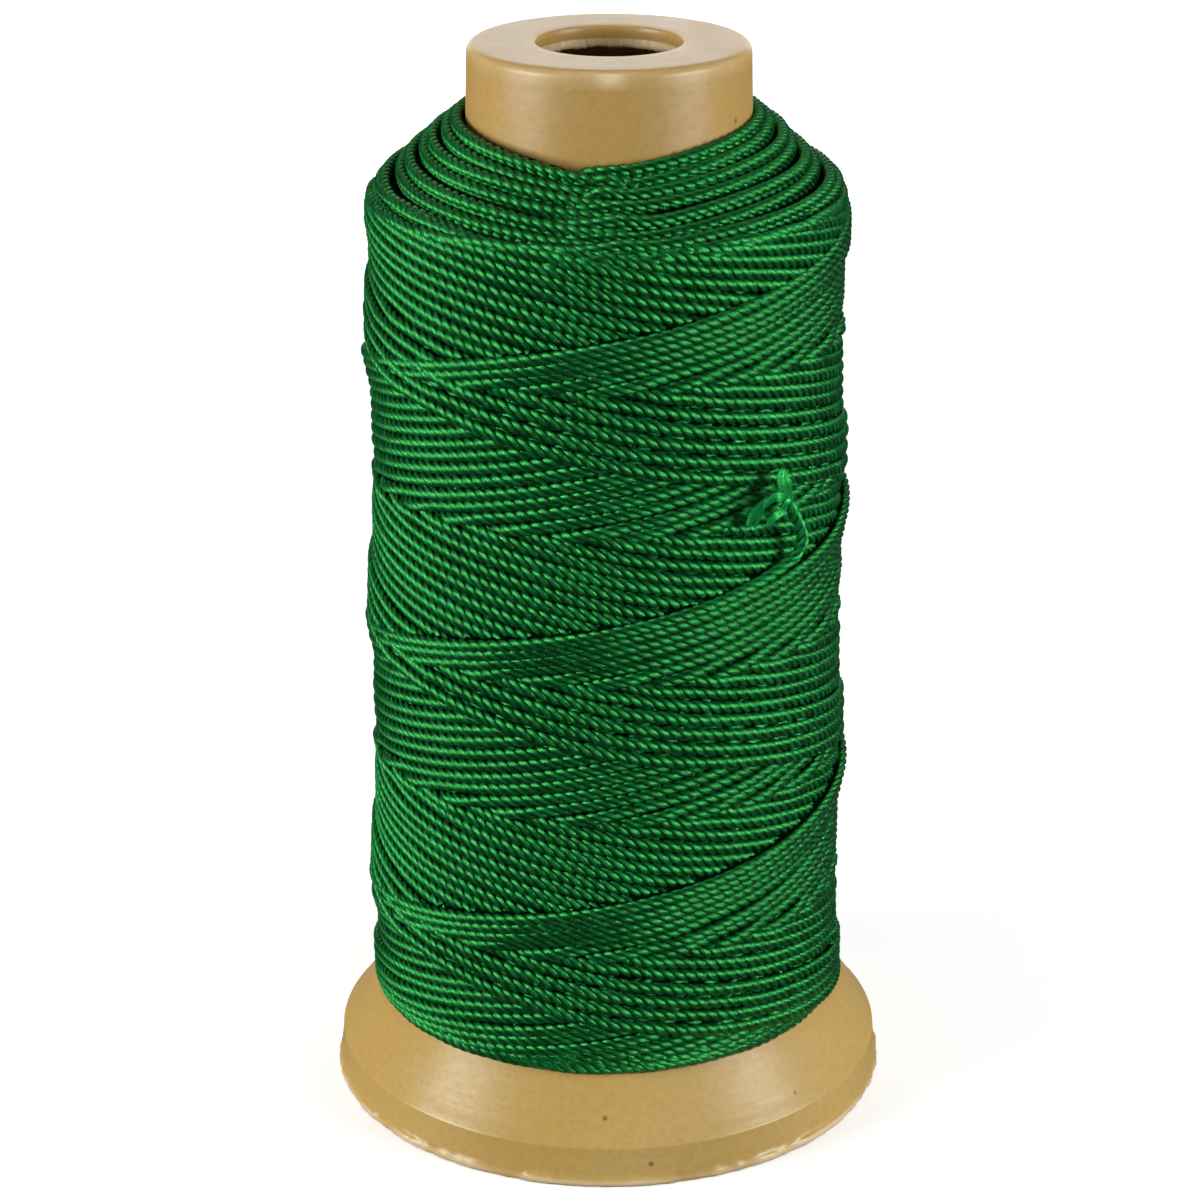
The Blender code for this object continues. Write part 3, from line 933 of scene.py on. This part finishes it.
def make_collar(material):
    """The cap: rounded edge with a painted highlight, and a spindle hole with a torn edge low on its wall.
    """
    seat = TUBE_TOP + 0.3
    spigot = TUBE_TOP_RADIUS - TUBE_WALL - 0.6
    rng = np.random.default_rng(37)
    bends = 10
    outline = arc((COLLAR_TOP_RADIUS - COLLAR_EDGE, HEIGHT - COLLAR_EDGE), COLLAR_EDGE, 90, 0, bends)
    for step in range(1, 16):
        height = HEIGHT - COLLAR_EDGE + (seat - HEIGHT + COLLAR_EDGE) * step / 16.0
        outline.append((COLLAR_TOP_RADIUS + (TUBE_TOP_RADIUS - COLLAR_TOP_RADIUS) * step / 16.0, height))
    outline += [(TUBE_TOP_RADIUS, seat), (spigot, seat), (spigot, seat - SPIGOT + 0.25),
                (spigot - 0.25, seat - SPIGOT), (COLLAR_BORE_RADIUS, seat - SPIGOT),
                (COLLAR_BORE_RADIUS, HEIGHT - COLLAR_PLATE - 1.2),
                (COLLAR_BORE_RADIUS - 0.4, HEIGHT - COLLAR_PLATE - 0.4),
                (COLLAR_BORE_RADIUS - 1.2, HEIGHT - COLLAR_PLATE)]
    torn = len(outline)
    outline += [(HOLE_RADIUS + out, HEIGHT - below) for out, below in (
        (1.2, 2.45), (0.25, 2.5), (-0.05, 2.35), (-0.02, 2.05), (0.02, 1.75), (0.05, 1.5))]
    torn_to = len(outline)
    outline += [(HOLE_RADIUS + out, HEIGHT - below) for out, below in (
        (0.06, 1.42), (0.02, 1.2), (0.0, 0.7), (0.0, 0.28), (0.08, 0.08), (0.26, 0.0))]
    flat = COLLAR_TOP_RADIUS - COLLAR_EDGE - HOLE_RADIUS - 0.26
    for step in range(1, 5):
        outline.append((HOLE_RADIUS + 0.26 + flat * step / 5.0, HEIGHT))
    steps = 384
    ring = np.arange(steps) * TAU / steps
    fuzz = ring_noise(rng, ring, 110, 24)
    wave = ring_noise(rng, ring, 16, 3)
    nap = ring_noise(rng, ring, 110, 30)

    def change(index, angles):
        """Torn lower part of the hole's wall."""
        if torn <= index < torn_to:
            depth = (torn_to - index) / (torn_to - torn)
            return -0.10 * np.abs(fuzz) * depth - 0.05 * nap * depth, (0.16 * nap + 0.14 * wave) * depth
        return 0.0, 0.0

    made = surface(turned("collar_cap", outline, steps, change), material)
    pale = np.zeros((len(outline), steps), np.float32)
    pale[torn:torn_to] = 1.0 + 0.5 * fuzz
    # The rounded edge is painted pale as a highlight, with a brighter spot across it at the front.
    pale[bends // 2:bends + 1] = 0.35 + 0.15 * wave
    pale[bends // 2 + 1:bends + 1] += 1.4 * np.exp(-((np.degrees(ring) + 180.0) % 360.0 - 180.0) ** 2 / 25.0)
    add_attributes(made.data, {}, {"torn": pale})
    stands_for(made, "top_collar")


# ---------------------------------------------------------------- studio

FLOOR_HALF = 3.0                # metres, as are the lights' places and sizes
WALL_RADIUS = 2900.0            # millimetres
WALL_HEIGHTS = (-50.0, 2900.0)
LIGHTS = [                      # name, place, size, watts
    ("key", (-0.80, -0.33, 0.24), 0.45, 8.8),
    ("fill", (0.80, -0.35, 0.24), 0.45, 8.0),
    ("top", (0.0, 0.0, 1.0), 0.60, 1.6),
    ("back", (0.0, 1.0, 0.42), 1.0, 6.3),
]
LIT_POINT = (0.0, 0.0, 0.06)


def make_paper():
    """A pale floor and a white wall far round it, which light nothing themselves."""
    corners = [(x * FLOOR_HALF, y * FLOOR_HALF, 0.0) for x, y in ((-1, -1), (1, -1), (1, 1), (-1, 1))]
    mesh = bpy.data.meshes.new("floor")
    mesh.from_pydata(corners, [], [(0, 1, 2, 3)])
    floor = linked("floor", mesh)
    paper, shader, tree, add = shader_tree("floor_paper")
    spread = add("VectorMath", {0: add("TexCoord").outputs["Object"]}, operation="LENGTH").outputs["Value"]
    tree.links.new(remap(add, spread, 0.25, 0.90, 0.42, 1.0), shader.inputs["Emission Strength"])
    shader.inputs["Base Color"].default_value = (0.86, 0.86, 0.86, 1.0)
    shader.inputs["Emission Color"].default_value = (1.0, 1.0, 1.0, 1.0)
    shader.inputs["Roughness"].default_value = 0.9
    shader.inputs["Specular IOR Level"].default_value = 0.1
    angles = np.arange(64) * TAU / 64
    ring = np.stack([np.cos(angles), np.sin(angles), np.zeros(64)], 1) * WALL_RADIUS
    wall = grid_mesh("backdrop", np.stack([ring + [0.0, 0.0, level] for level in WALL_HEIGHTS]), False)
    white, shader, _, _ = shader_tree("backdrop_paper")
    shader.inputs["Base Color"].default_value = (0.0, 0.0, 0.0, 1.0)
    shader.inputs["Specular IOR Level"].default_value = 0.0
    shader.inputs["Emission Color"].default_value = (1.0, 1.0, 1.0, 1.0)
    shader.inputs["Emission Strength"].default_value = 1.0
    for made, material in ((floor, paper), (wall, white)):
        surface(made, material)
        made.visible_diffuse = False
        made.visible_glossy = False
    wall.visible_shadow = False


def make_lights():
    """Two soft lights from the sides, a weak one from above and one from behind."""
    scene = bpy.context.scene
    scene.view_settings.view_transform = "Standard"
    world = bpy.data.worlds.new("studio")
    world.use_nodes = True
    background = world.node_tree.nodes["Background"]
    background.inputs["Color"].default_value = (1.0, 1.0, 1.0, 1.0)
    background.inputs["Strength"].default_value = 0.09
    scene.world = world
    for name, location, size, power in LIGHTS:
        data = bpy.data.lights.new(name, "AREA")
        data.shape = "SQUARE"
        data.size = size
        data.energy = power
        light = linked(name, data)
        light.location = location
        aim = np.array(LIT_POINT) - np.array(location)
        pitch = math.atan2(math.hypot(aim[0], aim[1]), -aim[2])
        yaw = math.atan2(aim[1], aim[0]) - math.pi / 2.0
        light.rotation_euler = (pitch, 0.0, yaw)


make_camera()
line = line_material("dyed_line", dark=(0.0, 0.0025, 0.001), mid=(0.001, 0.030, 0.008),
                     bright=(0.006, 0.17, 0.040), gloss=0.85, silky=0.6)
# A lighter copy of the line's colours for the unlaid plies: painted light.
loose = line_material("dyed_line_loose_painted_light", dark=(0.0, 0.006, 0.002), mid=(0.002, 0.070, 0.018),
                      bright=(0.010, 0.28, 0.065), gloss=0.9, silky=0.6)
# The layers under the outermost turns are painted near-black: painted shade that shows in the gaps between
# turns.
under = line_material("line_under_painted_shade", dark=(0.0, 0.006, 0.002), mid=(0.0, 0.009, 0.003),
                      bright=(0.0, 0.012, 0.004), gloss=0.0)
make_tail(make_winding(line, under), line, loose)
make_foot(plastic_material("foot_plastic_aged", base=(0.51, 0.335, 0.102), pale=(0.55, 0.375, 0.14),
                           dark=(0.48, 0.305, 0.083), roughness=0.31, shine=0.4))
make_collar(plastic_material("collar_plastic_aged", base=(0.45, 0.275, 0.075), pale=(0.49, 0.32, 0.11),
                             dark=(0.42, 0.25, 0.06), roughness=0.38, shine=0.5))
# The core tube gets a much darker copy of the spool's tan: painted shade for the tube seen deep inside the
# spool.
tube_plastic = plastic_material("tube_plastic_painted_shade", base=(0.16, 0.085, 0.03), pale=(0.20, 0.11, 0.04),
                                dark=(0.12, 0.06, 0.02), roughness=0.55, shine=0.4)
surface(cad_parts["core_tube"], tube_plastic)
make_paper()
make_lights()
